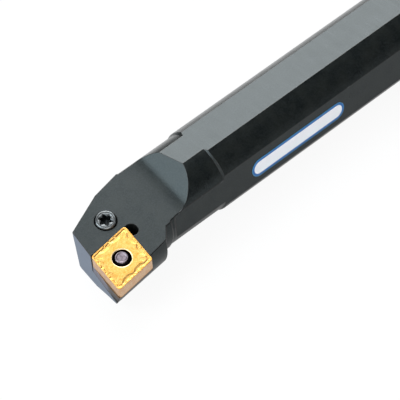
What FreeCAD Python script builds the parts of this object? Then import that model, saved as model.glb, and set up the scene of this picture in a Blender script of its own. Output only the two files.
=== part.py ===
# Right-hand boring bar with a lever-locked rhombic insert.
#
# Frame: X runs along the bar from the cutting corner to the shank, Z is up, square to the top flat,
# and the cutting corner points to -Y. The origin is on the bar's axis, level with the cutting corner.
# Lengths are in millimetres, angles in degrees.
import FreeCAD
import Part
import Sketcher
import math
import os

doc = FreeCAD.newDocument("boring_bar")
sheet = doc.addObject("Spreadsheet::Sheet", "Sizes")

SIZES = (
    # the bar, turned and flatted
    ("shank_diameter", 25.0, "round of the shank"),
    ("flat_depth", 1.2, "of each flat below the shank's round"),
    ("overall_length", 250.0, "cutting corner to rear end"),
    ("rear_chamfer", 1.0, "on the rear end"),
    ("neck_diameter", 24.0, "relieved round behind the head"),
    ("neck_end", 45.3, "cutting corner to the shank's shoulder"),
    ("head_diameter", 24.8, "round of the head"),
    ("head_length", 24.8, "cutting corner to the head's shoulder"),
    ("side_flat_start", 25.7, "cutting corner to the tip-side flat's run-out"),
    # the swelling that carries the insert
    ("swell_axis_offset", 3.0, "from the bar's axis towards the tip, to the axis the flank is turned on"),
    ("swell_front_radius", 14.16, "of the flank level with the cutting corner"),
    ("swell_taper", 5.2, "of the flank towards the axis"),
    ("swell_rear_back", 10.52, "along the head's top, run-out's foot to the rear corner"),
    ("swell_rear_reach", 16.78, "across the head's top, to that corner"),
    ("swell_rear_angle", 51.8, "of the rear wall, which is square to the head's top"),
    ("belly_depth", 11.36, "from the bar's axis to the flat under the swelling"),
    ("belly_angle", 13.0, "of that flat, up to the tip side"),
    ("belly_length", 2.5, "cutting corner to where the flat starts to run out"),
    ("belly_run_out_angle", 15.0, ""),
    # the milled top of the head and its run-out
    ("head_cut_angle", 5.0, "of the cutter's path about Z"),
    ("head_side_tilt", 12.0, "of the head's top, down to the tip side"),
    ("head_axial_tilt", 3.0, "of the head's top, down to the front"),
    ("head_floor_height", 6.5, "of the head's top above the axis, at the run-out's foot"),
    ("ramp_foot", 31.66, "cutting corner to the sharp foot of the run-out"),
    ("ramp_angle", 38.0, "between the head's top and the run-out"),
    ("ramp_fillet", 8.0, "at the run-out's foot"),
    # the head's far side and front
    ("far_front_reach", 2.62, "from the axis to the far side, at the front"),
    ("far_front_angle", 19.9, "of the far side's front part to the axis"),
    ("far_break", 15.9, "cutting corner to the far side's break"),
    ("far_rear_angle", 7.9, "of the far side's rear part to the axis"),
    ("far_level", 5.2, "height at which the far side is measured"),
    ("far_lean_angle", 4.5, "of the far side, outwards below"),
    ("front_setback", 3.04, "cutting corner to the front face, on the axis"),
    ("front_angle", 12.0, "of the front face about Z"),
    ("front_relief_angle", 7.2, "of the front face, backwards below"),
    # the pocket's place: three turns about the cutting corner
    ("tip_offset", 17.7, "from the axis to the cutting corner"),
    ("side_tilt", 13.4, "of the pocket about X"),
    ("axial_tilt", 9.5, "of the pocket about its Y"),
    ("lead_angle", 3.0, "of the pocket about its normal"),
    # the insert
    ("insert_circle", 12.7, "inscribed circle"),
    ("insert_corner_angle", 80.0, "angle of the cutting corner"),
    ("insert_thickness", 4.76, ""),
    ("nose_radius", 0.8, "of the insert's four corners"),
    ("insert_hole", 5.16, "diameter"),
    ("insert_hole_edge", 0.35, "break of the hole's edges"),
    ("land_width", 0.3, "flat rim inside the cutting edge"),
    ("groove_width", 2.0, "chip groove inside the rim"),
    ("groove_depth", 0.28, "of the chip groove"),
    ("groove_slope", 0.8, "plan width of each side of the chip groove"),
    ("groove_corner_share", 0.09, "share of each side that the groove's cut corners take"),
    # shim and its sleeve
    ("shim_thickness", 3.18, ""),
    ("shim_inset", 0.15, "of the shim inside the insert's outline, at the pocket's walls"),
    ("shim_lip", 0.3, "of the shim outside the insert's outline, before it is ground flush"),
    ("sleeve_diameter", 6.8, "outside"),
    ("sleeve_wall", 0.65, ""),
    ("sleeve_depth", 1.1, "of the sleeve's end below the pocket floor"),
    ("sleeve_slit", 1.2, "width of the sleeve's slit"),
    # lever
    ("lever_reach", 12.93, "from the insert's hole to the screw"),
    ("lever_angle", 64.2, "of the lever to the insert's cutting side"),
    ("stem_diameter", 3.6, ""),
    ("barrel_diameter", 4.3, "widest part of the lever's head"),
    ("head_disc_diameter", 3.7, "of the lever head's top"),
    ("head_disc_chamfer", 0.45, ""),
    ("dish_rim", 0.25, "width of the rim round the dish in the lever's top"),
    ("dish_slope", 0.25, "plan width of the dish's sloping side"),
    ("dish_depth", 0.15, ""),
    ("head_drop", 0.3, "of the lever's top below the insert's top"),
    ("arm_width", 5.2, ""),
    ("arm_height", 2.8, ""),
    ("arm_drop", 1.5, "of the arm's upper side below the pocket floor"),
    ("toe_height", 1.8, ""),
    ("toe_length", 4.8, "of the thin part of the arm, to the screw's axis"),
    ("toe_overlap", 0.8, "of the fork past the screw's axis"),
    # screw
    ("screw_diameter", 6.0, "over the thread"),
    ("screw_rise", 0.85, "of the screw above the head's top, along its axis"),
    ("screw_top_chamfer", 0.6, ""),
    ("socket_diameter", 3.5, "across the socket's lobes"),
    ("socket_lobe_diameter", 0.8, ""),
    ("socket_depth", 2.6, ""),
    ("groove_neck_diameter", 3.0, "in the screw's groove"),
    ("collar_height", 1.4, "below the groove"),
    ("collar_diameter", 5.0, ""),
    # drilled holes of the head
    ("corner_relief_diameter", 3.8, "hole at the pocket's inner corner"),
    ("corner_relief_shift", 1.63, "of that hole from the insert's corner, along the rear wall"),
    ("corner_relief_inset", 0.8, "of that hole from the insert's corner, away from the rear wall"),
    ("corner_relief_depth", 0.3, "below the pocket floor"),
    # label
    ("label_start", 55.8, "cutting corner to the label"),
    ("label_length", 35.9, ""),
    ("label_width", 5.8, ""),
    ("label_height", -0.35, "of the label's middle above the axis"),
    ("label_thickness", 0.12, ""),
    # clearances
    ("wall_gap", 0.08, "insert to the pocket's walls"),
    ("thread_gap", 0.1, "screw to its hole, on the radius"),
    ("grip_gap", 0.03, "lever's barrel to the insert's hole"),
    ("sleeve_gap", 0.03, "sleeve to its holes, on the radius"),
    ("arm_gap", 0.3, "lever's arm to its slot"),
    ("heel_gap", 0.1, "lever's heel to the slot's floor"),
    ("toe_gap", 0.2, "lever's toe to the screw's groove, each side"),
    ("fork_gap", 0.2, "lever's toe to the neck of the groove"),
    ("end_gap", 0.3, "screw's end to the bottom of its hole"),
    ("over_cut", 30.0, "how far a cutting tool's shape reaches past the bar"),
)

for row, (alias, value, note) in enumerate(SIZES, 1):
    sheet.set(f"A{row}", alias)
    sheet.set(f"B{row}", str(value))
    sheet.setAlias(f"B{row}", alias)
    sheet.set(f"C{row}", note)
doc.recompute()


def size(name):
    """The name of a size as expressions write it."""
    return f"Sizes.{name}"


# Sizes worked out from the sheet, as expressions
shank_radius = "Sizes.shank_diameter / 2"
flat_height = "(Sizes.shank_diameter / 2 - Sizes.flat_depth)"
neck_radius = "Sizes.neck_diameter / 2"
head_radius = "Sizes.head_diameter / 2"
insert_side = "(Sizes.insert_circle / sin(Sizes.insert_corner_angle))"
side_run = "(Sizes.insert_circle / tan(Sizes.insert_corner_angle))"
hole_x = f"(({insert_side} + {side_run}) / 2)"
hole_y = "(Sizes.insert_circle / 2)"
screw_x = f"({hole_x} + Sizes.lever_reach * cos(Sizes.lever_angle))"
screw_y = f"({hole_y} + Sizes.lever_reach * sin(Sizes.lever_angle))"
floor_z = "(-Sizes.insert_thickness - Sizes.shim_thickness)"
arm_top_z = f"({floor_z} - Sizes.arm_drop)"
arm_bottom_z = f"({arm_top_z} - Sizes.arm_height)"
slot_floor_z = f"({arm_bottom_z} - Sizes.heel_gap)"
toe_z = f"({arm_top_z} - Sizes.arm_height / 2)"
groove_top_z = f"({toe_z} + Sizes.toe_height / 2 + Sizes.toe_gap)"
groove_bottom_z = f"({toe_z} - Sizes.toe_height / 2 - Sizes.toe_gap)"
screw_end_z = f"({groove_bottom_z} - Sizes.collar_height)"
screw_hole_radius = "(Sizes.screw_diameter / 2 + Sizes.thread_gap)"
lever_shift = "((Sizes.insert_hole - Sizes.barrel_diameter) / 2 - Sizes.grip_gap)"

# The head's top and the pocket as placements
POCKET = (
    "placement(vector(0; -Sizes.tip_offset; 0); rotation(vector(1; 0; 0); Sizes.side_tilt)"
    " * rotation(vector(0; 1; 0); -Sizes.axial_tilt) * rotation(vector(0; 0; 1); Sizes.lead_angle))"
)
HEAD_TOP = (
    "placement(vector(Sizes.ramp_foot; 0; Sizes.head_floor_height);"
    " rotation(vector(0; 0; 1); -Sizes.head_cut_angle) * rotation(vector(1; 0; 0); Sizes.head_side_tilt)"
    " * rotation(vector(0; 1; 0); -Sizes.head_axial_tilt))"
)
FRONT = (
    "placement(vector(Sizes.front_setback; 0; 0); rotation(vector(0; 0; 1); -Sizes.front_angle)"
    " * rotation(vector(0; 1; 0); -Sizes.front_relief_angle))"
)
BELLY = "placement(vector(0; 0; 0); rotation(vector(1; 0; 0); -Sizes.belly_angle))"
FAR_SIDE = (
    "placement(vector(0; Sizes.far_front_reach; Sizes.far_level);"
    " rotation(vector(1; 0; 0); Sizes.far_lean_angle))"
)


def moved(frame, x="0", y="0", z="0", turn="0"):
    """A frame moved within itself, then turned about its Z."""
    return f"{frame} * placement(vector({x}; {y}; {z}); rotation(vector(0; 0; 1); {turn}))"


reader = doc.addObject("App::FeaturePython", "reader")


def number(expression):
    """The value that an expression has now."""
    value = reader.evalExpression(expression)
    return float(getattr(value, "Value", value))


def bind(thing, **expressions):
    """Ties properties of an object to expressions."""
    for name, expression in expressions.items():
        thing.setExpression(name, expression)


def new_body(label, frame=None):
    """An empty body in the given frame."""
    body = doc.addObject("PartDesign::Body", label)
    body.Label = label
    if frame:
        body.setExpression("Placement", frame)
    return body


def new_sketch(body, label, plane="XY_Plane", lift=None):
    """A sketch on one of the body's own planes, lifted off it if asked."""
    sketch = body.newObject("Sketcher::SketchObject", label)
    support = next(item for item in body.Origin.OriginFeatures if item.Role == plane)
    sketch.AttachmentSupport = [(support, "")]
    sketch.MapMode = "FlatFace"
    if lift:
        sketch.setExpression("AttachmentOffset.Base.z", lift)
    return sketch


def pin_point(sketch, index, place, x, y):
    """Ties one point of a sketch to a place measured from the sketch's origin."""
    for kind, expression in (("DistanceX", x), ("DistanceY", y)):
        line = sketch.addConstraint(Sketcher.Constraint(kind, -1, 1, index, place, number(expression)))
        sketch.setExpression(f"Constraints[{line}]", expression)


def draw_outline(sketch, corners):
    """A closed outline of straight lines through corners given as pairs of expressions."""
    first = sketch.GeometryCount
    count = len(corners)
    places = [FreeCAD.Vector(number(x), number(y), 0) for x, y in corners]
    for step in range(count):
        sketch.addGeometry(Part.LineSegment(places[step], places[(step + 1) % count]))
    for step, (x, y) in enumerate(corners):
        following = first + (step + 1) % count
        sketch.addConstraint(Sketcher.Constraint("Coincident", first + step, 2, following, 1))
        pin_point(sketch, first + step, 1, x, y)


def draw_circle(sketch, x, y, diameter):
    """A circle about a place given as expressions."""
    centre = FreeCAD.Vector(number(x), number(y), 0)
    circle = sketch.addGeometry(Part.Circle(centre, FreeCAD.Vector(0, 0, 1), number(diameter) / 2))
    pin_point(sketch, circle, 3, x, y)
    line = sketch.addConstraint(Sketcher.Constraint("Diameter", circle, number(diameter)))
    sketch.setExpression(f"Constraints[{line}]", diameter)


def draw_axis(sketch, height):
    """A construction line along the sketch's first axis at the given height."""
    level = number(height)
    line = Part.LineSegment(FreeCAD.Vector(0, level, 0), FreeCAD.Vector(10, level, 0))
    axis = sketch.addGeometry(line, True)
    sketch.addConstraint(Sketcher.Constraint("Horizontal", axis))
    sketch.addConstraint(Sketcher.Constraint("Vertical", -1, 1, axis, 1))
    sketch.addConstraint(Sketcher.Constraint("Distance", axis, 10))
    place = sketch.addConstraint(Sketcher.Constraint("DistanceY", -1, 1, axis, 1, level))
    sketch.setExpression(f"Constraints[{place}]", height)


def revolve(body, sketch, label, axis="H_Axis", cut=False):
    """Turns a sketch a full round about one of its axes, to add material or to cut it."""
    kind = "PartDesign::Groove" if cut else "PartDesign::Revolution"
    feature = body.newObject(kind, label)
    feature.Profile = sketch
    feature.ReferenceAxis = (sketch, [axis])
    feature.Angle = 360
    doc.recompute()
    return feature


def pad(body, sketch, label, length, symmetric=False, backwards=False):
    """Raises a sketch into a solid."""
    feature = body.newObject("PartDesign::Pad", label)
    feature.Profile = sketch
    feature.setExpression("Length", length)
    feature.SideType = "Symmetric" if symmetric else "One side"
    feature.Reversed = backwards
    doc.recompute()
    return feature


def pocket(body, sketch, label, depth=None, symmetric=False, backwards=False):
    """Cuts a sketch out of its body and makes sure that it took something away."""
    before = body.Shape.Volume
    feature = body.newObject("PartDesign::Pocket", label)
    feature.Profile = sketch
    feature.SideType = "Symmetric" if symmetric else "One side"
    feature.Reversed = backwards
    if depth:
        feature.setExpression("Length", depth)
    else:
        feature.Type = "ThroughAll"
    doc.recompute()
    if not body.Shape.Volume < before:
        raise RuntimeError(f"{label} cuts nothing")
    return feature


def edges_where(feature, test):
    """Names of a feature's edges that pass a test."""
    return [f"Edge{index}" for index, edge in enumerate(feature.Shape.Edges, 1) if test(edge)]


def break_edges(body, feature, label, amount, test, round_off=False):
    """Chamfers, or rounds, the edges of a feature that pass a test."""
    dressing = body.newObject("PartDesign::Fillet" if round_off else "PartDesign::Chamfer", label)
    dressing.Base = (feature, edges_where(feature, test))
    dressing.setExpression("Radius" if round_off else "Size", amount)
    doc.recompute()
    return dressing


def upright(edge):
    """Whether an edge is straight and runs along its body's Z."""
    if edge.Curve.TypeId != "Part::GeomLine":
        return False
    return abs(abs(edge.tangentAt(edge.FirstParameter).z) - 1) < 1e-6


def boolean(kind, label, base, tool):
    """One solid cut by, joined to or limited by another."""
    result = doc.addObject(f"Part::{kind}", label)
    result.Label = label
    result.Base = base
    result.Tool = tool
    doc.recompute()
    return result


def joined(label, shapes):
    """Several solids as one."""
    result = doc.addObject("Part::MultiFuse", label)
    result.Label = label
    result.Shapes = shapes
    result.Refine = True
    doc.recompute()
    return result


def cylinder(label, frame, diameter, length):
    """A cylinder along its frame's Z."""
    result = doc.addObject("Part::Cylinder", label)
    bind(result, Placement=frame, Radius=f"({diameter}) / 2", Height=length)
    return result


def rhombus_corners(inset="0"):
    """The insert's outline, drawn in by an inset: cutting corner, then round by the shank side."""
    edge_in = f"({inset}) / sin(Sizes.insert_corner_angle)"
    foot = f"({inset}) / tan(Sizes.insert_corner_angle) + {edge_in}"
    top = f"Sizes.insert_circle - ({inset})"
    slope = f"(Sizes.insert_circle - 2 * ({inset})) / tan(Sizes.insert_corner_angle)"
    across = f"(Sizes.insert_circle - 2 * ({inset})) / sin(Sizes.insert_corner_angle)"
    return [
        (foot, inset),
        (f"{foot} + {across}", inset),
        (f"{foot} + {across} + {slope}", top),
        (f"{foot} + {slope}", top),
    ]


def make_bar_blank():
    """The bar as turned and flatted, before its head is milled."""
    body = new_body("bar_blank")
    # the flank is turned about its own axis, off the bar's
    flank = new_sketch(body, "flank_profile")
    swell_end = "(Sizes.side_flat_start)"
    axis_y = "-Sizes.swell_axis_offset"
    front_y = f"{axis_y} - Sizes.swell_front_radius"
    draw_outline(flank, [
        ("0", axis_y),
        (swell_end, axis_y),
        (swell_end, f"{front_y} + {swell_end} * tan(Sizes.swell_taper)"),
        ("0", front_y),
    ])
    draw_axis(flank, axis_y)
    revolve(body, flank, "flank", axis="Axis0")
    # the swelling ends in a wall that is square to the head's top
    wall = new_sketch(body, "rear_wall_outline")
    wall.setExpression("AttachmentOffset", HEAD_TOP)
    run = "Sizes.over_cut"
    draw_outline(wall, [
        ("-Sizes.swell_rear_back", "-Sizes.swell_rear_reach"),
        (f"-Sizes.swell_rear_back + {run} / tan(Sizes.swell_rear_angle)", f"{run} - Sizes.swell_rear_reach"),
        (f"{run} * 2 - Sizes.swell_rear_back", f"{run} - Sizes.swell_rear_reach"),
        (f"{run} * 2 - Sizes.swell_rear_back", f"-Sizes.swell_rear_reach - {run}"),
        ("-Sizes.swell_rear_back", f"-Sizes.swell_rear_reach - {run}"),
    ])
    pocket(body, wall, "rear_wall", depth="Sizes.over_cut * 2", symmetric=True)
    # head, neck and shank on the bar's own axis, with sloping shoulders
    rounds = new_sketch(body, "round_profile")
    draw_outline(rounds, [
        ("0", "0"),
        ("Sizes.overall_length", "0"),
        ("Sizes.overall_length", f"{shank_radius} - Sizes.rear_chamfer"),
        ("Sizes.overall_length - Sizes.rear_chamfer", shank_radius),
        (f"Sizes.neck_end + {shank_radius} - {neck_radius}", shank_radius),
        ("Sizes.neck_end", neck_radius),
        (f"Sizes.head_length + {head_radius} - {neck_radius}", neck_radius),
        ("Sizes.head_length", head_radius),
        ("0", head_radius),
    ])
    revolve(body, rounds, "rounds")
    # flats, seen along the bar: top, bottom and far side run its whole length
    whole = "Sizes.overall_length"
    for label, low, high in (
        ("top_flat", ("-Sizes.over_cut", flat_height), ("Sizes.over_cut", "Sizes.over_cut")),
        ("bottom_flat", ("-Sizes.over_cut", "-Sizes.over_cut"), ("Sizes.over_cut", f"-{flat_height}")),
        ("far_flat", (flat_height, "-Sizes.over_cut"), ("Sizes.over_cut", "Sizes.over_cut")),
    ):
        sketch = new_sketch(body, f"{label}_outline", plane="YZ_Plane")
        draw_outline(sketch, [low, (high[0], low[1]), high, (low[0], high[1])])
        pocket(body, sketch, label, depth=whole, backwards=True)
    # the tip-side flat starts behind the head in a sloping run-out
    side = new_sketch(body, "side_flat_outline")
    draw_outline(side, [
        ("Sizes.side_flat_start", f"-{head_radius}"),
        (f"Sizes.side_flat_start + {head_radius} - {flat_height}", f"-{flat_height}"),
        (f"{whole} + Sizes.over_cut", f"-{flat_height}"),
        (f"{whole} + Sizes.over_cut", "-Sizes.over_cut"),
        ("Sizes.side_flat_start", "-Sizes.over_cut"),
    ])
    pocket(body, side, "side_flat", depth="Sizes.over_cut * 2", symmetric=True)
    return body


def make_head_cutters():
    """The shapes that are milled and drilled out of the head."""
    # the top face and its run-out, cut in one pass across the bar
    top = new_body("top_cutter", HEAD_TOP)
    profile = new_sketch(top, "top_cutter_profile", plane="XZ_Plane")
    reach = "Sizes.over_cut"
    draw_outline(profile, [
        ("-Sizes.over_cut * 2", "0"),
        ("0", "0"),
        (reach, f"{reach} * tan(Sizes.ramp_angle)"),
        ("-Sizes.over_cut * 2", f"{reach} * tan(Sizes.ramp_angle)"),
    ])
    sweep = pad(top, profile, "top_sweep", "Sizes.over_cut * 3", symmetric=True)
    break_edges(top, sweep, "foot_fillet", size("ramp_fillet"), at_cutter_foot, round_off=True)
    # the far side: two upright-looking facets that lean out a little below
    far = new_body("far_cutter", FAR_SIDE)
    facets = new_sketch(far, "far_cutter_outline")
    break_y = "Sizes.far_break * tan(Sizes.far_front_angle)"
    draw_outline(facets, [
        ("-Sizes.over_cut", "-Sizes.over_cut * tan(Sizes.far_front_angle)"),
        ("Sizes.far_break", break_y),
        (f"Sizes.far_break + {reach}", f"{break_y} + {reach} * tan(Sizes.far_rear_angle)"),
        (f"Sizes.far_break + {reach}", "Sizes.over_cut * 2"),
        ("-Sizes.over_cut", "Sizes.over_cut * 2"),
    ])
    pad(far, facets, "far_sweep", "Sizes.over_cut * 4", symmetric=True)
    # the flat under the swelling's front, which runs out before the lever's well
    belly = new_body("belly_cutter", BELLY)
    under = new_sketch(belly, "belly_cutter_profile", plane="XZ_Plane")
    fall = f"{reach} * tan(Sizes.belly_run_out_angle)"
    draw_outline(under, [
        ("-Sizes.over_cut", "-Sizes.belly_depth"),
        ("Sizes.belly_length", "-Sizes.belly_depth"),
        (f"Sizes.belly_length + {reach}", f"-Sizes.belly_depth - {fall}"),
        ("-Sizes.over_cut", f"-Sizes.belly_depth - {fall}"),
    ])
    pad(belly, under, "belly_sweep", "Sizes.over_cut * 3", symmetric=True)
    # the front face
    front = doc.addObject("Part::Box", "front_cutter")
    bind(front, Length=reach, Width=f"{reach} * 3", Height=f"{reach} * 3")
    front.setExpression("Placement", moved(FRONT, "-Sizes.over_cut", "-Sizes.over_cut * 1.5",
                                           "-Sizes.over_cut * 1.5"))
    # the pocket, open to the front and to the tip side
    seat = new_body("pocket_cutter", POCKET)
    walls = new_sketch(seat, "pocket_outline", lift=floor_z)
    wall_top = "Sizes.insert_circle + Sizes.wall_gap"
    wall_x = f"{insert_side} + Sizes.wall_gap / sin(Sizes.insert_corner_angle)"
    draw_outline(walls, [
        ("-Sizes.over_cut", "-Sizes.over_cut"),
        (f"{wall_x} - Sizes.over_cut / tan(Sizes.insert_corner_angle)", "-Sizes.over_cut"),
        (f"{wall_x} + ({wall_top}) / tan(Sizes.insert_corner_angle)", wall_top),
        ("-Sizes.over_cut", wall_top),
    ])
    pad(seat, walls, "pocket_sweep", size("over_cut"))
    return [top, far, belly, front, seat] + make_drilled_holes()


def at_cutter_foot(edge):
    """Whether an edge is the top cutter's lowest inner edge, where the run-out starts."""
    middle = edge.CenterOfMass
    along_y = abs(abs(edge.tangentAt(edge.FirstParameter).y) - 1) < 1e-6
    return along_y and abs(middle.x) < 1e-6 and abs(middle.z) < 1e-6


def make_drilled_holes():
    """Holes square to the pocket: its corner relief, the lever's well and slot, the screw's hole."""
    corner_x = f"({insert_side} + {side_run})"
    relief_x = f"({corner_x} + Sizes.corner_relief_inset)"
    relief_y = "(Sizes.insert_circle - Sizes.corner_relief_shift)"
    deep = f"({floor_z} - Sizes.corner_relief_depth)"
    relief = cylinder("corner_relief", moved(POCKET, relief_x, relief_y, deep),
                      size("corner_relief_diameter"), size("over_cut"))
    # the sleeve's hole goes on as a narrower well for the lever's heel
    seat_depth = "(Sizes.sleeve_depth + Sizes.sleeve_gap)"
    seat = cylinder("sleeve_hole", moved(POCKET, hole_x, hole_y, f"{floor_z} - {seat_depth}"),
                    "Sizes.sleeve_diameter + 2 * Sizes.sleeve_gap", seat_depth)
    slot_width = "(Sizes.arm_width + 2 * Sizes.arm_gap)"
    well = cylinder("lever_well", moved(POCKET, hole_x, hole_y, slot_floor_z), slot_width,
                    f"{floor_z} - {slot_floor_z}")
    slot = doc.addObject("Part::Box", "lever_slot")
    bind(slot, Length=size("lever_reach"), Width=slot_width, Height=f"{floor_z} - {slot_floor_z}")
    turned = moved(POCKET, hole_x, hole_y, slot_floor_z, size("lever_angle"))
    slot.setExpression("Placement", moved(turned, "0", f"-{slot_width} / 2"))
    bottom = f"({screw_end_z} - Sizes.end_gap)"
    screw_hole = cylinder("screw_hole", moved(POCKET, screw_x, screw_y, bottom),
                          f"2 * {screw_hole_radius}", size("over_cut"))
    return [relief, seat, well, slot, screw_hole]


def make_bar():
    """The bar: its blank less all that is milled and drilled."""
    blank = make_bar_blank()
    cutters = joined("head_cutters", make_head_cutters())
    bar = boolean("Cut", "bar", blank, cutters)
    bar.Refine = True
    doc.recompute()
    return bar


def make_cutting_insert():
    """A double-sided rhombic insert with a chip groove round each face."""
    body = new_body("cutting_insert", moved(POCKET, z="-Sizes.insert_thickness / 2"))
    plan = new_sketch(body, "insert_outline")
    draw_outline(plan, rhombus_corners())
    solid = pad(body, plan, "insert_body", size("insert_thickness"), symmetric=True)
    rounded = break_edges(body, solid, "noses", size("nose_radius"), upright, round_off=True)
    face_z = "Sizes.insert_thickness / 2"
    # the chip groove is a sloping bowl with a raised middle
    bed_z = f"{face_z} - Sizes.groove_depth"
    inner = "(Sizes.land_width + Sizes.groove_width)"
    rim = chip_level(body, "groove_rim", face_z, size("land_width"))
    bed = chip_level(body, "groove_bed", bed_z, "Sizes.land_width + Sizes.groove_slope")
    bowl = body.newObject("PartDesign::SubtractiveLoft", "chip_bowl")
    bowl.Profile = rim
    bowl.Sections = [bed]
    bowl.Ruled = True
    doc.recompute()
    foot = chip_level(body, "plateau_foot", bed_z, f"{inner} - Sizes.groove_slope / 2")
    head = chip_level(body, "plateau_head", face_z, inner)
    plateau = body.newObject("PartDesign::AdditiveLoft", "plateau")
    plateau.Profile = foot
    plateau.Sections = [head]
    plateau.Ruled = True
    doc.recompute()
    mirror = body.newObject("PartDesign::Mirrored", "other_face")
    mirror.Originals = [bowl, plateau]
    mirror.MirrorPlane = (next(item for item in body.Origin.OriginFeatures if item.Role == "XY_Plane"), [""])
    body.Tip = mirror
    doc.recompute()
    bore = new_sketch(body, "hole_outline")
    draw_circle(bore, hole_x, hole_y, size("insert_hole"))
    drilled = pocket(body, bore, "hole", depth="Sizes.insert_thickness * 2", symmetric=True)
    radius = number("Sizes.insert_hole / 2")
    break_edges(body, drilled, "hole_edges", size("insert_hole_edge"), lambda edge: is_round(edge, radius))
    return body


def is_round(edge, radius):
    """Whether an edge is a full circle of the given radius."""
    if edge.Curve.TypeId != "Part::GeomCircle":
        return False
    return abs(edge.Curve.Radius - radius) < 1e-6 and edge.isClosed()


def chip_level(body, label, lift, inset):
    """One level of the chip groove: the insert's outline drawn in, with its corners cut off square.

    Cut corners keep the sketch to straight lines, eight in all, so that levels loft into each other."""
    sketch = new_sketch(body, label, lift=lift)
    corners = rhombus_corners(inset)
    cut = size("groove_corner_share")
    outline = []
    for step, (x, y) in enumerate(corners):
        for near_x, near_y in (corners[step - 1], corners[(step + 1) % 4]):
            cut_x = f"({x}) + (({near_x}) - ({x})) * {cut}"
            cut_y = f"({y}) + (({near_y}) - ({y})) * {cut}"
            outline.append((cut_x, cut_y))
    draw_outline(sketch, outline)
    return sketch


def make_shim(blank):
    """The seat below the insert, ground flush with the head's front and flank."""
    body = new_body("shim_blank", moved(POCKET, z=floor_z))
    plan = new_sketch(body, "shim_outline")
    slant = "sin(Sizes.insert_corner_angle)"
    rise = "tan(Sizes.insert_corner_angle)"
    front_x = f"-Sizes.shim_lip / {slant}"
    wall_x = f"{insert_side} - Sizes.shim_inset / {slant}"
    wall_y = "(Sizes.insert_circle - Sizes.shim_inset)"
    draw_outline(plan, [
        (f"{front_x} - Sizes.shim_lip / {rise}", "-Sizes.shim_lip"),
        (f"{wall_x} - Sizes.shim_lip / {rise}", "-Sizes.shim_lip"),
        (f"{wall_x} + {wall_y} / {rise}", wall_y),
        (f"{front_x} + {wall_y} / {rise}", wall_y),
    ])
    solid = pad(body, plan, "shim_body", size("shim_thickness"))
    break_edges(body, solid, "shim_corners", size("nose_radius"), upright, round_off=True)
    bore = new_sketch(body, "shim_hole_outline")
    draw_circle(bore, hole_x, hole_y, "Sizes.sleeve_diameter + 2 * Sizes.sleeve_gap")
    pocket(body, bore, "shim_hole", depth="Sizes.shim_thickness * 2", symmetric=True)
    fore = doc.addObject("Part::Box", "shim_front_grinder")
    reach = "Sizes.over_cut"
    bind(fore, Length=reach, Width=f"{reach} * 3", Height=f"{reach} * 3")
    fore.setExpression("Placement", moved(FRONT, "-Sizes.over_cut", "-Sizes.over_cut * 1.5",
                                          "-Sizes.over_cut * 1.5"))
    fronted = boolean("Cut", "fronted_shim", body, fore)
    return boolean("Common", "shim", fronted, blank)


def make_shim_sleeve():
    """The split sleeve: a thin tube with one slit along it."""
    length = "(Sizes.shim_thickness + Sizes.sleeve_depth - 2 * Sizes.arm_gap)"
    body = new_body("shim_sleeve", moved(POCKET, hole_x, hole_y, f"{floor_z} - Sizes.sleeve_depth"))
    ring = new_sketch(body, "sleeve_outline")
    draw_circle(ring, "0", "0", size("sleeve_diameter"))
    draw_circle(ring, "0", "0", "Sizes.sleeve_diameter - 2 * Sizes.sleeve_wall")
    pad(body, ring, "tube", length)
    slit = new_sketch(body, "slit_outline")
    draw_outline(slit, [
        ("-Sizes.sleeve_diameter", "-Sizes.sleeve_slit / 2"),
        ("0", "-Sizes.sleeve_slit / 2"),
        ("0", "Sizes.sleeve_slit / 2"),
        ("-Sizes.sleeve_diameter", "Sizes.sleeve_slit / 2"),
    ])
    pocket(body, slit, "slit", depth=f"{length} * 2", symmetric=True)
    return body


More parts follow.
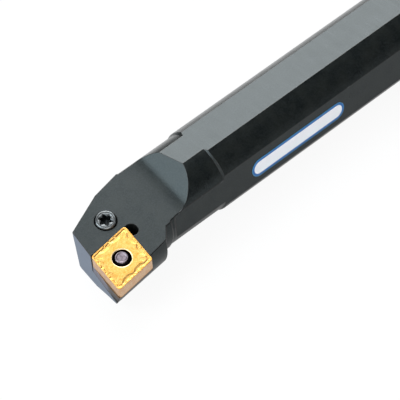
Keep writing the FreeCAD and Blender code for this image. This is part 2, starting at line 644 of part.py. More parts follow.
def make_clamping_lever():
    """The L-shaped lever: a barrel-headed stem, a round heel and an arm with a forked toe."""
    body = new_body("clamping_lever", moved(POCKET, hole_x, hole_y, turn=size("lever_angle")))
    # the arm from the side, with the heel under the stem
    side = new_sketch(body, "arm_profile", plane="XZ_Plane")
    toe_end = "Sizes.lever_reach + Sizes.toe_overlap"
    knee = f"{lever_shift} + Sizes.stem_diameter / 2"
    toe_start = "Sizes.lever_reach - Sizes.toe_length"
    draw_outline(side, [
        (lever_shift, arm_bottom_z),
        (toe_start, arm_bottom_z),
        (f"{toe_start} + Sizes.toe_height / 2", f"{toe_z} - Sizes.toe_height / 2"),
        (toe_end, f"{toe_z} - Sizes.toe_height / 2"),
        (toe_end, f"{toe_z} + Sizes.toe_height / 2"),
        (f"{toe_start} + Sizes.toe_height / 2", f"{toe_z} + Sizes.toe_height / 2"),
        (toe_start, arm_top_z),
        (lever_shift, arm_top_z),
    ])
    pad(body, side, "arm", size("arm_width"), symmetric=True)
    # the heel's round is the lever's pivot
    heel = new_sketch(body, "heel_outline", plane="XZ_Plane")
    draw_circle(heel, lever_shift, toe_z, size("arm_height"))
    pad(body, heel, "heel", size("arm_width"), symmetric=True)
    # stem and barrel head, turned about the stem's own axis
    stem = new_sketch(body, "stem_profile", plane="XZ_Plane")
    top_z = "-Sizes.head_drop"
    barrel_z = "-Sizes.insert_thickness / 2"
    disc = "Sizes.head_disc_diameter / 2"
    dish = f"{disc} - Sizes.head_disc_chamfer - Sizes.dish_rim - Sizes.dish_slope"
    draw_outline(stem, [
        (lever_shift, toe_z),
        (knee, toe_z),
        (knee, "-Sizes.insert_thickness"),
        (f"{lever_shift} + Sizes.barrel_diameter / 2", f"{barrel_z} - Sizes.head_disc_chamfer"),
        (f"{lever_shift} + Sizes.barrel_diameter / 2", f"{barrel_z} + Sizes.head_disc_chamfer"),
        (f"{lever_shift} + {disc}", f"{top_z} - Sizes.head_disc_chamfer"),
        (f"{lever_shift} + {disc} - Sizes.head_disc_chamfer", top_z),
        (f"{lever_shift} + {dish} + Sizes.dish_slope", top_z),
        (f"{lever_shift} + {dish}", f"{top_z} - Sizes.dish_depth"),
        (lever_shift, f"{top_z} - Sizes.dish_depth"),
    ])
    turned = body.newObject("PartDesign::Revolution", "stem")
    turned.Profile = stem
    turned.ReferenceAxis = (stem, ["Edge10"])
    turned.Angle = 360
    doc.recompute()
    # the fork that straddles the neck of the screw's groove
    fork = new_sketch(body, "fork_outline")
    throat = "(Sizes.groove_neck_diameter + 2 * Sizes.fork_gap)"
    draw_outline(fork, [
        ("Sizes.lever_reach", f"-{throat} / 2"),
        ("Sizes.lever_reach * 1.5", f"-{throat} / 2"),
        ("Sizes.lever_reach * 1.5", f"{throat} / 2"),
        ("Sizes.lever_reach", f"{throat} / 2"),
    ])
    pocket(body, fork, "fork", depth="Sizes.over_cut * 2", symmetric=True)
    saddle = new_sketch(body, "saddle_outline")
    draw_circle(saddle, size("lever_reach"), "0", throat)
    pocket(body, saddle, "saddle", depth="Sizes.over_cut * 2", symmetric=True)
    return body


def make_lever_screw():
    """The screw: threaded round, groove for the lever's toe, end collar, six-lobe socket."""
    body = new_body("lever_screw", moved(POCKET, screw_x, screw_y))
    profile = new_sketch(body, "screw_profile", plane="XZ_Plane")
    top_z = screw_top_z()
    radius = "Sizes.screw_diameter / 2"
    neck = "Sizes.groove_neck_diameter / 2"
    collar = "Sizes.collar_diameter / 2"
    draw_outline(profile, [
        ("0", screw_end_z),
        (f"{collar} - Sizes.toe_gap", screw_end_z),
        (collar, f"{screw_end_z} + Sizes.toe_gap"),
        (collar, groove_bottom_z),
        (neck, groove_bottom_z),
        (neck, groove_top_z),
        (collar, groove_top_z),
        (radius, f"{groove_top_z} + ({radius} - {collar})"),
        (radius, f"{top_z} - Sizes.screw_top_chamfer"),
        (f"{radius} - Sizes.screw_top_chamfer", top_z),
        ("0", top_z),
    ])
    revolve(body, profile, "round", axis="V_Axis")
    core = new_sketch(body, "socket_core_outline", lift=top_z)
    draw_circle(core, "0", "0", "Sizes.socket_diameter - Sizes.socket_lobe_diameter")
    pocket(body, core, "socket_core", depth=size("socket_depth"))
    lobe = new_sketch(body, "socket_lobe_outline", lift=top_z)
    lobe_x = "(Sizes.socket_diameter - Sizes.socket_lobe_diameter) / 2"
    draw_circle(lobe, lobe_x, "0", size("socket_lobe_diameter"))
    first = pocket(body, lobe, "socket_lobe", depth=size("socket_depth"))
    lobes = body.newObject("PartDesign::PolarPattern", "socket_lobes")
    lobes.Originals = [first]
    lobes.Axis = (core, ["N_Axis"])
    lobes.Angle = 360
    lobes.Occurrences = 6
    body.Tip = lobes
    doc.recompute()
    return body


def screw_top_z():
    """Height of the screw's top in the pocket's frame: the head's top there, and the screw's rise."""
    return f"({head_top_over_screw()} + Sizes.screw_rise)"


def head_top_over_screw():
    """Where the screw's axis meets the head's top, as a height in the pocket's frame."""
    start = "vector(Sizes.ramp_foot; 0; Sizes.head_floor_height)"
    tip = "vector(0; -Sizes.tip_offset; 0)"
    pocket_turn = (
        "rotation(vector(1; 0; 0); Sizes.side_tilt) * rotation(vector(0; 1; 0); -Sizes.axial_tilt)"
        " * rotation(vector(0; 0; 1); Sizes.lead_angle)"
    )
    head_turn = (
        "rotation(vector(0; 0; 1); -Sizes.head_cut_angle) * rotation(vector(1; 0; 0); Sizes.head_side_tilt)"
        " * rotation(vector(0; 1; 0); -Sizes.head_axial_tilt)"
    )
    normal = f"({head_turn} * vector(0; 0; 1))"
    axis = f"({pocket_turn} * vector(0; 0; 1))"
    base = f"({tip} + {pocket_turn} * vector({screw_x}; {screw_y}; 0))"
    return f"(vdot({start} - {base}; {normal}) / vdot({axis}; {normal}))"


def make_marking_label():
    """A bare pill-shaped label stuck on the shank's tip-side flat."""
    body = new_body("marking_label")
    half = "Sizes.label_width / 2"
    strip = new_sketch(body, "strip_outline", plane="XZ_Plane", lift=flat_height)
    low = f"Sizes.label_height - {half}"
    high = f"Sizes.label_height + {half}"
    near = f"Sizes.label_start + {half}"
    far = f"Sizes.label_start + Sizes.label_length - {half}"
    draw_outline(strip, [(near, low), (far, low), (far, high), (near, high)])
    pad(body, strip, "strip", size("label_thickness"))
    for label, middle in (("front_end", near), ("rear_end", far)):
        end = new_sketch(body, f"{label}_outline", plane="XZ_Plane", lift=flat_height)
        draw_circle(end, middle, size("label_height"), size("label_width"))
        pad(body, end, label, size("label_thickness"))
    return body


bar = make_bar()
pieces = {
    "bar": bar,
    "cutting_insert": make_cutting_insert(),
    "shim": make_shim(bar.Base),
    "shim_sleeve": make_shim_sleeve(),
    "clamping_lever": make_clamping_lever(),
    "lever_screw": make_lever_screw(),
    "marking_label": make_marking_label(),
}
doc.recompute()

# Every object has to be whole before anything is written
for thing in doc.Objects:
    if "Invalid" in thing.State or "Error" in thing.State:
        raise RuntimeError(f"{thing.Label} failed: {thing.State}")
for name, piece in pieces.items():
    if piece.Label != name or piece.Shape.isNull() or not piece.Shape.isValid():
        raise RuntimeError(f"{name} has no valid shape")

os.makedirs("parts", exist_ok=True)
for name, piece in pieces.items():
    piece.Shape.exportStep(f"parts/{name}.step")
    bounds = piece.Shape.BoundBox
    print(name, len(piece.Shape.Solids), "solid", round(piece.Shape.Volume, 2), "mm3", bounds)
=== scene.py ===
import math

import bmesh
import bpy
import numpy as np
from mathutils import Matrix, Vector


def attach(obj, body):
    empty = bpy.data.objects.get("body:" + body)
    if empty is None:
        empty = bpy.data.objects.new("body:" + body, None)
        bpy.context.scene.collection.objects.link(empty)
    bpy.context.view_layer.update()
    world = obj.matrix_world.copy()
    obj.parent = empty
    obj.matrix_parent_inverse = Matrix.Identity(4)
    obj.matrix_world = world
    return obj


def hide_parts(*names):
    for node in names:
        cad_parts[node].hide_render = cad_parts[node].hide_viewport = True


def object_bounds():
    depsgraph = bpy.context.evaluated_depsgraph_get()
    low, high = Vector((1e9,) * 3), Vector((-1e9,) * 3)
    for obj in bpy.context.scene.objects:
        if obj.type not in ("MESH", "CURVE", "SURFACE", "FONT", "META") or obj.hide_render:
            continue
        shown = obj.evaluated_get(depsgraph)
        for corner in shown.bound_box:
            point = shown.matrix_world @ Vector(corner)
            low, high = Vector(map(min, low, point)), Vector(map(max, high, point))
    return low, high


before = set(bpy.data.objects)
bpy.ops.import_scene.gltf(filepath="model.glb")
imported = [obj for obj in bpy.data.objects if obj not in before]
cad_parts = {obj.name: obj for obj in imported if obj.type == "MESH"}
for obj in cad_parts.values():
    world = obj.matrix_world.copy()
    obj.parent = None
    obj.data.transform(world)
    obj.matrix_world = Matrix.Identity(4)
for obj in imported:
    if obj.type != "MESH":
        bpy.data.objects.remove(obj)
cad_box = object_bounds()


# The camera: a long lens 0.87 m away, above the tip side and a little in front of the insert. It is rolled by
# 6 degrees, and the picture is shown without a film curve.
lens_mm, sensor_mm = 291.49, 36
camera_place = Vector((-0.36901, -0.50069, 0.60949))
camera_turn, camera_height, camera_roll = (math.radians(a) for a in (-39.628, 43.659, -6.0))
back = Vector((math.sin(camera_turn) * math.cos(camera_height),
               -math.cos(camera_turn) * math.cos(camera_height),
               math.sin(camera_height)))
level = Vector((-back.y, back.x, 0)).normalized()
axes = Matrix((level, back.cross(level), back)).transposed() @ Matrix.Rotation(camera_roll, 3, "Z")
camera_data = bpy.data.cameras.new("camera")
camera_data.lens = lens_mm
camera_data.sensor_width = sensor_mm
camera_data.clip_start = 0.01
camera = bpy.data.objects.new("camera", camera_data)
camera.matrix_world = Matrix.Translation(camera_place) @ axes.to_4x4()
bpy.context.scene.collection.objects.link(camera)
bpy.context.scene.camera = camera
bpy.context.scene.view_settings.view_transform = "Standard"


# The studio: a table of white paper, a pale horizon on the near side and four soft lamps. The bar mirrors the
# table only up to 0.3 m behind it, and the rest of the room is dark, which is what makes the bar's rounds and
# eased edges nearly black.
MM = 0.001


class Wire:
    """One output of a shader node. Arithmetic on it adds Math nodes."""

    def __init__(self, nodes, socket):
        self.nodes, self.socket = nodes, socket

    def math(self, operation, *others):
        return self.nodes.add("ShaderNodeMath", {"operation": operation}, dict(enumerate((self,) + others)))

    def step(self, low, high, start=0.0, end=1.0):
        """A smooth change from start to end while the value goes from low to high."""
        ranges = {"Value": self, "From Min": low, "From Max": high, "To Min": start, "To Max": end}
        return self.nodes.add("ShaderNodeMapRange", {"interpolation_type": "SMOOTHSTEP"}, ranges)

    def __add__(self, other):
        return self.math("ADD", other)

    def __mul__(self, other):
        return self.math("MULTIPLY", other)

    def __sub__(self, other):
        return self.math("SUBTRACT", other)

    def __rsub__(self, other):
        return self.nodes.add("ShaderNodeMath", {"operation": "SUBTRACT"}, {0: other, 1: self})

    __radd__ = __add__
    __rmul__ = __mul__


class Nodes:
    """The shader nodes of a material, or of the world."""

    def __init__(self, owner):
        owner.use_nodes = True
        self.tree = owner.node_tree
        self.tree.nodes.clear()

    def add(self, kind, settings=None, inputs=None, output=0):
        """Adds a node with its settings, then the values or wires of its inputs. Gives back one output."""
        node = self.tree.nodes.new(kind)
        for name, value in (settings or {}).items():
            setattr(node, name, value)
        for name, value in (inputs or {}).items():
            if isinstance(value, Wire):
                self.tree.links.new(value.socket, node.inputs[name])
            else:
                node.inputs[name].default_value = value
        if node.outputs:
            return Wire(self, node.outputs[output])

    def spot(self):
        """The place on the piece, in metres."""
        return self.add("ShaderNodeTexCoord", {}, {}, "Object")

    def mix(self, factor, first, second):
        """A colour between two colours."""
        return self.add("ShaderNodeMix", {"data_type": "RGBA"}, {0: factor, 6: first, 7: second}, 2)

    def noise(self, place, scale, detail=2.0):
        """Soft random values from 0 to 1, as wide as 1 / scale metres."""
        return self.add("ShaderNodeTexNoise", {}, {"Vector": place, "Scale": scale, "Detail": detail})

    def along(self, place, direction, start=0.0):
        """Millimetres from a start to a place, measured along a direction."""
        metres = self.add("ShaderNodeVectorMath", {"operation": "DOT_PRODUCT"},
                          {0: place, 1: direction}, "Value")
        return metres * (1 / MM) - start

    def streaks(self, place, scales):
        """Soft random values that are drawn out along the axes with small scales."""
        drawn = self.add("ShaderNodeVectorMath", {"operation": "MULTIPLY"}, {0: place, 1: scales})
        return self.noise(drawn, 1.0)

    def bump(self, strength, depth, height):
        """The normal of a surface with fine bumps, depth in metres."""
        return self.add("ShaderNodeBump", {}, {"Strength": strength, "Distance": depth, "Height": height})

    def surface(self, sockets):
        """Ends a material in one Principled shader."""
        shader = self.add("ShaderNodeBsdfPrincipled", {}, sockets)
        self.add("ShaderNodeOutputMaterial", {}, {"Surface": shader})


def new_object(name, mesh):
    """Puts a mesh into the scene as an object at the origin."""
    thing = bpy.data.objects.new(name, mesh)
    bpy.context.scene.collection.objects.link(thing)
    return thing


table_reach = 6.0
table_level = cad_box[0].z - 0.02 * MM
corner_signs = ((-1, -1), (1, -1), (1, 1), (-1, 1))
table_mesh = bpy.data.meshes.new("table")
table_mesh.from_pydata([(x * table_reach, y * table_reach, table_level) for x, y in corner_signs],
                       [], [(0, 1, 2, 3)])
table = new_object("table", table_mesh)
table_finish = bpy.data.materials.new("white_paper")
paper = Nodes(table_finish)
camera_ray, mirrored, passed = (paper.add("ShaderNodeLightPath", {}, {}, f"Is {ray} Ray")
                                for ray in ("Camera", "Glossy", "Transmission"))
seen = camera_ray.math("MAXIMUM", mirrored).math("MAXIMUM", passed)
lit = paper.add("ShaderNodeBsdfDiffuse", {}, {"Color": (0.88, 0.88, 0.88, 1)})
# in the bar's polish the table is brightest from 50 to 200 mm behind it, and gone at 300
behind = paper.along(paper.spot(), (0, 1, 0))
in_mirror = behind.step(15.0, 50.0, 0.60, 1.5) - behind.step(200.0, 300.0, 0.0, 1.4)
glow_strength = 1.0 + mirrored * (in_mirror - 1.0)
glow = paper.add("ShaderNodeEmission", {}, {"Color": (1, 1, 1, 1), "Strength": glow_strength})
glow_share = 0.93
mixed = paper.add("ShaderNodeMixShader", {}, {0: seen * glow_share, 1: lit, 2: glow})
paper.add("ShaderNodeOutputMaterial", {}, {"Surface": mixed})
table_mesh.materials.append(table_finish)

room = bpy.data.worlds.new("room")
bpy.context.scene.world = room
air = Nodes(room)
direction = air.add("ShaderNodeTexCoord", {}, {}, "Generated")
upwards, far_side = (air.add("ShaderNodeSeparateXYZ", {}, {0: direction}, axis) for axis in "ZY")
horizon_glow, room_dark, far_dark = 1.0, 0.07, 0.10
brightness = upwards.step(0.0, 0.12, horizon_glow, room_dark) * far_side.step(0.35, 0.60, 1.0, far_dark)
brightness = air.add("ShaderNodeLightPath", {}, {}, "Is Camera Ray").math("MAXIMUM", brightness)
sky = air.add("ShaderNodeBackground", {}, {"Color": (1, 1, 1, 1), "Strength": brightness})
air.add("ShaderNodeOutputWorld", {}, {"Surface": sky})


def softbox(name, towards, distance, width, radiance, colour=(1, 1, 1)):
    """A square lamp that faces the bar from the given direction; its power is pi x area x radiance."""
    lamp = bpy.data.lights.new(name, "AREA")
    lamp.shape = "SQUARE"
    lamp.size = width
    lamp.color = colour
    lamp.energy = math.pi * width * width * radiance
    body = bpy.data.objects.new(name, lamp)
    way = Vector(towards).normalized()
    body.matrix_world = Matrix.Translation(way * distance) @ way.to_track_quat("Z", "Y").to_matrix().to_4x4()
    bpy.context.scene.collection.objects.link(body)


softbox("lamp_behind", (0.47, 0.57, 0.67), 2.0, 1.25, 6.6)
softbox("lamp_overhead", (0.10, 0.18, 0.98), 1.1, 0.72, 1.45)
softbox("lamp_front_left", (-0.76, 0.28, 0.62), 1.1, 1.05, 4.4, (0.88, 0.96, 1.0))
softbox("lamp_fill", (-0.50, -0.75, 0.45), 1.2, 0.90, 2.6)


# The bar: one piece of steel, turned, flatted, then milled and drilled at the head, and blackened all over in
# an oxide bath. Its front was ground after that. Every edge is eased a little, and rubbed bright in places.
def eased_copy(node, name, width, angle=28.0, share=None, clamped=True):
    """A copy of a CAD node with its loose triangles merged, and the edges that turn by more than the angle
    rounded to the width. Where share is given, it says from an edge's two ends what share of the width
    the edge takes."""
    same_point, short_edge, flat_turn = 0.002 * MM, 0.004 * MM, math.radians(0.6)
    sliver_area = 0.001 * MM * MM
    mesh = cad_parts[node].data.copy()
    mesh.name = name
    if "custom_normal" in mesh.attributes:
        mesh.attributes.remove(mesh.attributes["custom_normal"])
    work = bmesh.new()
    work.from_mesh(mesh)
    bmesh.ops.remove_doubles(work, verts=work.verts, dist=same_point)
    bmesh.ops.dissolve_degenerate(work, edges=work.edges, dist=short_edge)
    bmesh.ops.dissolve_limit(work, verts=work.verts, edges=work.edges, angle_limit=flat_turn)
    weight = work.edges.layers.float.new("bevel_weight_edge")
    for edge in work.edges:
        sharp = edge.calc_face_angle(0.0) > math.radians(angle)
        if sharp and min(face.calc_area() for face in edge.link_faces) > sliver_area:
            edge[weight] = share(edge.verts[0].co, edge.verts[1].co) if share else 1.0
    work.to_mesh(mesh)
    work.free()
    mesh.materials.clear()
    piece = new_object(name, mesh)
    mesh.polygons.foreach_set("use_smooth", np.ones(len(mesh.polygons), bool))
    mesh.set_sharp_from_angle(angle=math.radians(angle))
    easing = piece.modifiers.new("eased_edges", "BEVEL")
    easing.width = width
    easing.segments = 2
    easing.limit_method = "WEIGHT"
    easing.use_clamp_overlap = clamped
    easing.harden_normals = True
    return piece


def edge_share(start, end):
    """The head's edges are broken to the full width, and the shank's, over 30 mm from the front, to half."""
    return 0.5 if min(start.x, end.x) > 30 * MM else 1.0


front_setback, front_angle, front_relief_angle = 3.04, 12.0, 7.2
front_normal = (Matrix.Rotation(math.radians(-front_angle), 3, "Z")
                @ Matrix.Rotation(math.radians(-front_relief_angle), 3, "Y") @ Vector((-1, 0, 0)))


def ground_front(nodes, place):
    """1 on the plane that the front was ground to, and 0 from 0.12 mm behind it."""
    return nodes.along(place, tuple(front_normal), front_normal.x * front_setback).step(-0.12, -0.06)


bar = eased_copy("bar", "black_bar", 0.2 * MM, 12.5, edge_share, clamped=False)
bar_finish = bpy.data.materials.new("black_oxide_on_steel")
oxide = Nodes(bar_finish)
spot = oxide.spot()
cloud = oxide.noise(spot, 260.0, 3.0)
grain = oxide.noise(spot, 5200.0)
speckle = oxide.noise(spot, 2300.0, 3.0).step(0.35, 0.70)
# turning marks run round the shank, and the head's cutter swung about a point beside it
turning = oxide.streaks(spot, (2600.0, 120.0, 120.0))
cutter_centre = (-6 * MM, -52 * MM, 0)
swing = oxide.add("ShaderNodeVectorMath", {"operation": "DISTANCE"}, {0: spot, 1: cutter_centre}, "Value")
milling = oxide.noise(oxide.add("ShaderNodeCombineXYZ", {}, {"X": swing}), 1500.0)
on_head = oxide.along(spot, (1, 0, 0)).step(26.0, 30.0, 1.0, 0.0)
marks = turning * (1.0 - on_head) + milling * on_head
bare_front = ground_front(oxide, spot)
black = oxide.mix(cloud.step(0.3, 0.7), (0.003, 0.0045, 0.0045, 1), (0.010, 0.0115, 0.010, 1))
black = oxide.mix(speckle * 0.7, black, (0.018, 0.021, 0.022, 1))
oxide.surface({
    "Base Color": oxide.mix(bare_front, black, (0.30, 0.30, 0.40, 1)),
    "Metallic": bare_front,
    "Roughness": cloud * 0.10 + marks * 0.12 + 0.20,
    "IOR": 1.46,
    "Specular Tint": (0.82, 0.96, 1.0, 1),
    "Normal": oxide.bump(0.4, 0.02 * MM, grain + marks),
})
bar.data.materials.append(bar_finish)
edge_finish = bpy.data.materials.new("rubbed_edges")
rubbed = Nodes(edge_finish)
bare = rubbed.noise(rubbed.spot(), 420.0, 3.0).step(0.60, 0.80)
rubbed.surface({
    "Base Color": rubbed.mix(bare, (0.004, 0.005, 0.005, 1), (0.12, 0.13, 0.14, 1)),
    "Metallic": bare,
    "Roughness": bare * 0.05 + 0.28,
})
bar.data.materials.append(edge_finish)
bar.modifiers["eased_edges"].material = 1
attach(bar, "holder")
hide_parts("bar")


# The insert: pressed and sintered carbide with a golden hard coating, double-sided, held by the lever in its
# hole. Round each face runs a narrow land, then a chip groove that the scalloped plateau climbs out of.
tip_offset, side_tilt, axial_tilt, lead_angle = 17.7, 13.4, 9.5, 3.0
pocket = Matrix.Translation((0, -tip_offset * MM, 0))
for tilt, axis in ((side_tilt, "X"), (-axial_tilt, "Y"), (lead_angle, "Z")):
    pocket = pocket @ Matrix.Rotation(math.radians(tilt), 4, axis)
pocket_turn, pocket_origin = np.array(pocket.to_3x3()), np.array(pocket.translation)


def in_pocket(points):
    """Points given in millimetres in the pocket's frame, as metres in the scene."""
    return points * MM @ pocket_turn.T + pocket_origin


def across_pocket(nodes, place, axis, start=0.0):
    """Millimetres along one of the pocket's axes, from a start that is counted from the cutting corner."""
    way = pocket_turn[:, axis]
    return nodes.along(place, tuple(way), float(way @ pocket_origin) / MM + start)


def ring_mesh(name, rings, joined_ends=False, first_pole=None, last_pole=None, angle=30.0):
    """A surface through rings of points, rows x columns x 3, each ring closed. Rows run so that the outside
    lies to the left of them as the columns go counter-clockwise. Its ends join, or close in poles."""
    rows, columns = rings.shape[:2]
    index = np.arange(rows * columns).reshape(rows, columns)
    if joined_ends:
        index = np.vstack([index, index[:1]])
    beside = np.roll(index, -1, axis=1)
    quads = np.stack([index[:-1], index[1:], beside[1:], beside[:-1]], axis=-1).reshape(-1, 4)
    points = [rings.reshape(-1, 3)]
    faces = quads.tolist()
    count = rows * columns
    for pole, ring, flip in ((first_pole, 0, False), (last_pole, -1, True)):
        if pole is not None:
            points.append(np.array([pole]))
            fan = np.stack([index[ring], beside[ring], np.full(columns, count)], axis=-1)
            faces += (fan[:, ::-1] if flip else fan).tolist()
            count += 1
    mesh = bpy.data.meshes.new(name)
    mesh.from_pydata(in_pocket(np.concatenate(points)).tolist(), [], faces)
    mesh.polygons.foreach_set("use_smooth", np.ones(len(mesh.polygons), bool))
    mesh.set_sharp_from_angle(angle=math.radians(angle))
    return new_object(name, mesh)


circle, thick, nose, hole_radius = 12.7, 4.76, 0.8, 2.58
corner = math.radians(80)
side = circle / math.sin(corner)
slope = circle / math.tan(corner)
tips = np.array([(0, 0), (side, 0), (side + slope, circle), (slope, circle)])
middle = tips.mean(axis=0)
ahead = np.roll(tips, -1, axis=0) - tips
ahead /= np.linalg.norm(ahead, axis=1)[:, None]
outward = np.stack([ahead[:, 1], -ahead[:, 0]], axis=1)


def insert_outline(arc_steps, side_steps):
    """Points round the rhombus with its rounded noses, counter-clockwise from the cutting corner. Each nose
    is an arc about a centre on the corner's bisector, and each side a straight run from arc to arc."""
    points = []
    for k in range(4):
        turn = math.acos(float(outward[k - 1] @ outward[k]))
        into = -(outward[k - 1] + outward[k])
        centre = tips[k] + into / np.linalg.norm(into) * nose / math.cos(turn / 2)
        start = math.atan2(outward[k - 1][1], outward[k - 1][0])
        angles = start + turn * np.arange(arc_steps) / arc_steps
        arc = centre + nose * np.stack([np.cos(angles), np.sin(angles)], axis=1)
        reach = nose * math.tan(turn / 2)
        next_turn = math.acos(float(outward[k] @ outward[(k + 1) % 4]))
        run = side - reach - nose * math.tan(next_turn / 2)
        steps = np.arange(side_steps)[:, None] / side_steps * run + reach
        points += [arc, tips[k] + ahead[k] * steps]
    return np.concatenate(points)


def rise(value, low, high):
    """A smooth step from 0 to 1: three squares less two cubes of the share of the way from low to high."""
    share = np.clip((value - low) / (high - low), 0, 1)
    return share * share * (3 - 2 * share)


def face_height(place):
    """Height of the insert's face over its flat level. With d the distance from the nearest edge and a the
    place along that edge from its middle, a groove goes down between d = 0.32 and 0.80, on a line that waves
    along the edge, and comes up again over a band that bulges towards the edge at three lobes. Three round
    dimples sit at the groove's outer rim, and a straight finger of the plateau points to each nose."""
    groove_depth, wave, wave_length = 0.12, 0.07, 1.47
    lobe_places, lobe_width = (-4.4, 0.0, 4.4), 0.85
    dimple_places, dimple_inset, dimple_depth, dimple_radius = (-1.95, 0.0, 1.95), 0.34, 0.13, 0.20
    finger_level, finger_half_width, finger_end, finger_root = -0.03, 0.22, 1.2, 3.8
    far = np.stack([(place - tips[k]) @ -outward[k] for k in range(4)])
    along_edge = np.stack([(place - tips[k]) @ ahead[k] - side / 2 for k in range(4)])
    nearest = far.argmin(axis=0)
    d = np.take_along_axis(far, nearest[None], 0)[0]
    a = np.take_along_axis(along_edge, nearest[None], 0)[0]
    lobes = sum(np.exp(-((a - shift) / lobe_width) ** 2) for shift in lobe_places)
    waved = wave * np.cos(a * 2 * math.pi / wave_length)
    down = rise(d, 0.32 + waved, 0.80 + waved)
    up_again = rise(d, 1.05 - 0.5 * lobes, 1.95 - 0.75 * lobes)
    height = -groove_depth * down * (1 - up_again)
    for shift in dimple_places:
        height -= dimple_depth * np.exp(-((a - shift) ** 2 + (d - dimple_inset) ** 2) / dimple_radius ** 2)
    for k in range(4):
        inward = (middle - tips[k]) / np.linalg.norm(middle - tips[k])
        deep = (place - tips[k]) @ inward
        wide = np.abs((place - tips[k]) @ np.array([-inward[1], inward[0]]))
        finger = 1 - rise(wide, finger_half_width, finger_half_width + 0.38)
        finger *= rise(deep, finger_end, finger_end + 0.9) * (1 - rise(deep, finger_root - 0.8, finger_root))
        height = height * (1 - finger) + finger_level * finger
    return height


outline = insert_outline(arc_steps=14, side_steps=88)
# each face goes from its edge inwards: the rounded cutting edge, the moulded pattern, the flat up to the hole
# and the quarter round into the hole
edge_inset = np.array([0, 0.012, 0.028, 0.05, 0.08])
edge_drop = np.array([0.05, 0.026, 0.010, 0.002, 0])
inset = np.concatenate([edge_inset, np.linspace(0.12, 2.5, 42)])
shrunk = middle + (outline - middle) * (1 - inset[:, None, None] / (circle / 2))
away = (outline - middle) / np.linalg.norm(outline - middle, axis=1)[:, None]
mouth_radius = 0.32
mouth = middle + away * (hole_radius + mouth_radius)
inner_share = np.linspace(0, 1, 12)[1:, None, None]
plan = np.concatenate([shrunk, shrunk[-1] * (1 - inner_share) + mouth * inner_share])
face = face_height(plan.reshape(-1, 2)).reshape(plan.shape[:2])
face[:len(edge_drop)] -= edge_drop[:, None]
bend = np.linspace(0, math.pi / 2, 6)[1:]
bend_plan = middle + away * (hole_radius + mouth_radius * (1 - np.sin(bend)))[:, None, None]
bend_drop = -mouth_radius * (1 - np.cos(bend))
plan = np.concatenate([plan, bend_plan])
face = np.concatenate([face, np.repeat(bend_drop[:, None], len(outline), axis=1)])
top = np.concatenate([plan, face[:, :, None]], axis=2)[::-1]
bottom = np.concatenate([plan, -thick - face[:, :, None]], axis=2)
flank_levels = np.linspace(-edge_drop[0], edge_drop[0] - thick, 10)[1:-1]
flank = np.stack([np.column_stack([outline, np.full(len(outline), level)]) for level in flank_levels])
insert = ring_mesh("coated_insert", np.concatenate([top, flank, bottom]), joined_ends=True, angle=50)
coating = bpy.data.materials.new("gold_coating")
gold = Nodes(coating)
gold_spot = gold.spot()
mottle = gold.noise(gold_spot, 900.0, 3.0)
grit = gold.noise(gold_spot, 2400.0, 3.0)
patch = mottle.step(0.3, 0.7) * 0.5 + grit.step(0.35, 0.65) * 0.5
bright_gold = gold.mix(patch, (0.72, 0.35, 0.065, 1), (0.91, 0.56, 0.175, 1))
# the flanks get a paler, creamier copy of the same gold, a painted sheen
flank_painted_sheen = gold.mix(patch, (0.88, 0.50, 0.27, 1), (1.0, 0.76, 0.52, 1))
face_level = across_pocket(gold, gold_spot, 2)
on_flank = face_level.step(-0.25, -0.10, 1.0, 0.0) * face_level.step(0.25 - thick, 0.4 - thick)
# a painted highlight makes a cream ring round the hole's mouth, and painted shade makes the hole's wall near
# black
sideways, forwards = (across_pocket(gold, gold_spot, axis, float(middle[axis])) for axis in (0, 1))
from_hole = (sideways * sideways + forwards * forwards).math("SQRT")
hole_shade = from_hole.step(2.62, 2.70, 1.0, 0.0)
mouth_highlight = from_hole.step(2.64, 2.72) * from_hole.step(2.90, 3.0, 1.0, 0.0)
coated = gold.mix(mouth_highlight, gold.mix(on_flank, bright_gold, flank_painted_sheen), (1.0, 0.82, 0.48, 1))
gold.surface({
    "Base Color": gold.mix(hole_shade, coated, (0.06, 0.035, 0.02, 1)),
    "Metallic": 1.0,
    "Roughness": grit * 0.14 + 0.32,
    "Normal": gold.bump(0.5, 0.04 * MM, grit),
})
insert.data.materials.append(coating)
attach(insert, "holder")
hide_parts("cutting_insert")


# The shim: a sintered carbide plate, ground flat on both faces and then flush with the bar's front. It lies
# on the pocket's floor and is held by its sleeve.
shim = eased_copy("shim", "ground_shim", 0.05 * MM)
shim_finish = bpy.data.materials.new("ground_carbide")
carbide = Nodes(shim_finish)
shim_spot = carbide.spot()
grinding = carbide.streaks(shim_spot, (300.0, 2400.0, 2400.0))
sintered = carbide.mix(grinding, (0.07, 0.06, 0.06, 1), (0.12, 0.105, 0.105, 1))
carbide.surface({
    "Base Color": carbide.mix(ground_front(carbide, shim_spot), sintered, (0.22, 0.22, 0.29, 1)),
    "Metallic": 1.0,
    "Roughness": grinding * 0.10 + 0.30,
})
shim.data.materials.append(shim_finish)
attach(shim, "holder")
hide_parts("shim")


# The sleeve: spring steel strip rolled into a tube with a slit, so that it grips the shim's hole and the hole
# in the pocket's floor.
sleeve = eased_copy("shim_sleeve", "rolled_sleeve", 0.05 * MM)
sleeve_finish = bpy.data.materials.new("spring_steel")
spring = Nodes(sleeve_finish)
rolling = spring.streaks(spring.spot(), (2600.0, 2600.0, 260.0))
spring.surface({
    "Base Color": spring.mix(rolling, (0.24, 0.24, 0.25, 1), (0.36, 0.36, 0.37, 1)),
    "Metallic": 1.0,
    "Roughness": rolling * 0.10 + 0.28,
})
sleeve.data.materials.append(sleeve_finish)
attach(sleeve, "holder")
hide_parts("shim_sleeve")


# The lever: an investment casting in hardened steel, blasted, with a dished top. It stands in the insert's
# hole, and its arm reaches under the pocket's floor to the screw.
lever = eased_copy("clamping_lever", "blasted_lever", 0.05 * MM)
lever_angle = math.radians(64.2)
lever_way = np.array([math.cos(lever_angle), math.sin(lever_angle)])
lever_shift = 0.4  # clamped, the stem stands this far from the hole's middle, towards the screw
stem_axis = middle + lever_shift * lever_way
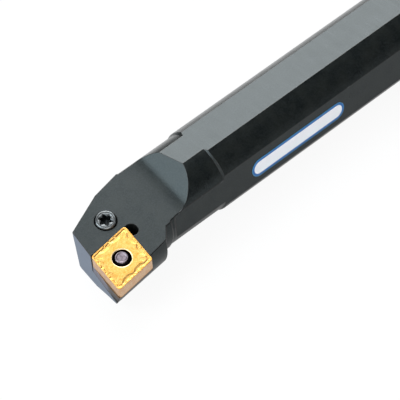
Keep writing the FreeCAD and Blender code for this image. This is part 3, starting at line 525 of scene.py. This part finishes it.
# the dished top stands out round the stem by a little more than in the solid
top_growth, top_level, dish_reach, top_reach = 0.30, -0.6, 0.5, 2.0
points = np.empty(len(lever.data.vertices) * 3)
lever.data.vertices.foreach_get("co", points)
points = points.reshape(-1, 3)
local = (points - pocket_origin) @ pocket_turn / MM
from_stem = local[:, :2] - stem_axis
reach = np.linalg.norm(from_stem, axis=1)
on_top = (local[:, 2] > top_level) & (reach > dish_reach) & (reach < top_reach)
local[on_top, :2] += from_stem[on_top] * (top_growth / reach[on_top])[:, None]
points[on_top] = in_pocket(local[on_top])
lever.data.vertices.foreach_set("co", points.ravel())
lever_finish = bpy.data.materials.new("blasted_steel")
blasted = Nodes(lever_finish)
lever_spot = blasted.spot()
patches = blasted.noise(lever_spot, 1500.0, 3.0)
pits = blasted.noise(lever_spot, 6500.0)
blasted.surface({
    "Base Color": blasted.mix(patches.step(0.3, 0.7), (0.17, 0.145, 0.165, 1), (0.30, 0.26, 0.30, 1)),
    "Metallic": 1.0,
    "Roughness": pits * 0.12 + 0.34,
    "Normal": blasted.bump(0.4, 0.03 * MM, pits),
})
lever.data.materials.append(lever_finish)
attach(lever, "lever")
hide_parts("clamping_lever")


# The screw: turned steel with a rolled 6 mm thread, a groove that carries the lever's toe and a pressed
# six-lobe socket, blackened. It screws into the head and stands a little proud of it.
lever_reach = 12.93  # from the hole's middle to the screw
screw_place = middle + lever_reach * lever_way
screw_top, screw_end, groove_top, groove_end = -0.329, -13.34, -9.74, -11.94
screw_radius, chamfer, pitch, thread_depth = 3.0, 0.6, 1.0, 0.42
collar_radius, neck_radius = 2.5, 1.5
columns = 108
angles = np.arange(columns) * 2 * math.pi / columns
lobed = 1.47 + 0.27 * np.cos(6 * angles)
# the thread: at each level and angle the radius follows a ridge that climbs one pitch per turn, and which
# fades out at both ends
levels = np.arange(screw_top - chamfer - 0.02, groove_top + 0.55, -0.1)
turns = levels[:, None] / pitch - angles / (2 * math.pi)
ridge = np.abs((turns % 1) * 2 - 1)
fade = (rise(levels, groove_top + 0.55, groove_top + 1.1)
        * rise(-levels, -screw_top + chamfer, -screw_top + chamfer + 0.6))
threaded = screw_radius - thread_depth * rise(ridge, 0.12, 0.88) * fade[:, None]
# radii with their depths below the screw's top: the lobed socket, then the dished middle and the rim
socket = [(0.4 * lobed, 2.75), (0.97 * lobed, 2.5), (lobed, 2.4), (lobed, 1.2), (lobed, 0.42),
          (lobed + 0.04, 0.36), (lobed + 0.10, 0.33)]
dished_rim = [(2.08, 0.16), (2.16, 0.18), (2.22, 0.26), (2.34, 0.26), (2.44, 0.05), (2.50, 0.0), (2.60, 0.0),
              (2.68, 0.05), (2.95, 0.42), (screw_radius, chamfer)]
# radii with their levels: the groove for the lever's toe, then the collar
toe_groove = [(screw_radius, groove_top + 0.52), (collar_radius, groove_top + 0.03),
              (collar_radius - 0.04, groove_top), (neck_radius + 0.1, groove_top),
              (neck_radius, groove_top - 0.1), (neck_radius, groove_end + 0.1),
              (neck_radius + 0.1, groove_end), (collar_radius - 0.04, groove_end)]
collar = [(collar_radius, groove_end - 0.04), (collar_radius, screw_end + 0.24),
          (collar_radius - 0.04, screw_end + 0.16), (2.3, screw_end), (1.2, screw_end)]
profile = [(radius, screw_top - depth) for radius, depth in socket + dished_rim]
profile += list(zip(threaded, levels)) + toe_groove + collar
radii = np.stack([np.broadcast_to(radius, columns) for radius, level in profile])
heights = np.repeat([[level] for radius, level in profile], columns, axis=1)
rings = np.stack([screw_place[0] + radii * np.cos(angles), screw_place[1] + radii * np.sin(angles), heights],
                 axis=2)
screw = ring_mesh("blackened_screw", rings, first_pole=(*screw_place, screw_top - 2.85),
                  last_pole=(*screw_place, screw_end), angle=35)
screw_finish = bpy.data.materials.new("blackened_screw_steel")
dark = Nodes(screw_finish)
screw_spot = dark.spot()
worn = dark.noise(screw_spot, 1300.0, 3.0)
faced = across_pocket(dark, screw_spot, 2).step(screw_top - 0.40, screw_top - 0.10)
rubbed_face = dark.mix(worn, (0.16, 0.175, 0.18, 1), (0.28, 0.30, 0.31, 1))
dark.surface({
    "Base Color": dark.mix(faced, (0.05, 0.055, 0.058, 1), rubbed_face),
    "Metallic": 1.0,
    "Roughness": worn * 0.12 + 0.26,
})
screw.data.materials.append(screw_finish)
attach(screw, "screw")
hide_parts("lever_screw")


# The label: a pill of printed film, white with a blue border and a paler blue at its cut edge. It is stuck on
# the shank's tip-side flat.
label = eased_copy("marking_label", "bare_label", 0.03 * MM)
label_middle, label_height, spine_half = 73.75, -0.35, 15.05
white_radius, rim_radius = 2.05, 2.76
label_finish = bpy.data.materials.new("printed_film")
film = Nodes(label_finish)
label_spot = film.spot()
# the colours follow the distance from the pill's spine, the straight line between the centres of its ends
from_middle = film.along(label_spot, (1, 0, 0), label_middle).math("ABSOLUTE")
past_end = (from_middle - spine_half).math("MAXIMUM", 0.0)
over_spine = film.along(label_spot, (0, 0, 1), label_height)
from_spine = (past_end * past_end + over_spine * over_spine).math("SQRT")
border = from_spine.step(white_radius, white_radius + 0.07)
cut_edge = from_spine.step(rim_radius, rim_radius + 0.06)
bordered = film.mix(border, (0.93, 0.94, 0.98, 1), (0.002, 0.13, 0.42, 1))
film.surface({
    "Base Color": film.mix(cut_edge, bordered, (0.08, 0.32, 0.56, 1)),
    "Roughness": film.noise(label_spot, 700.0) * 0.08 + 0.32,
})
label.data.materials.append(label_finish)
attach(label, "holder")
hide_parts("marking_label")
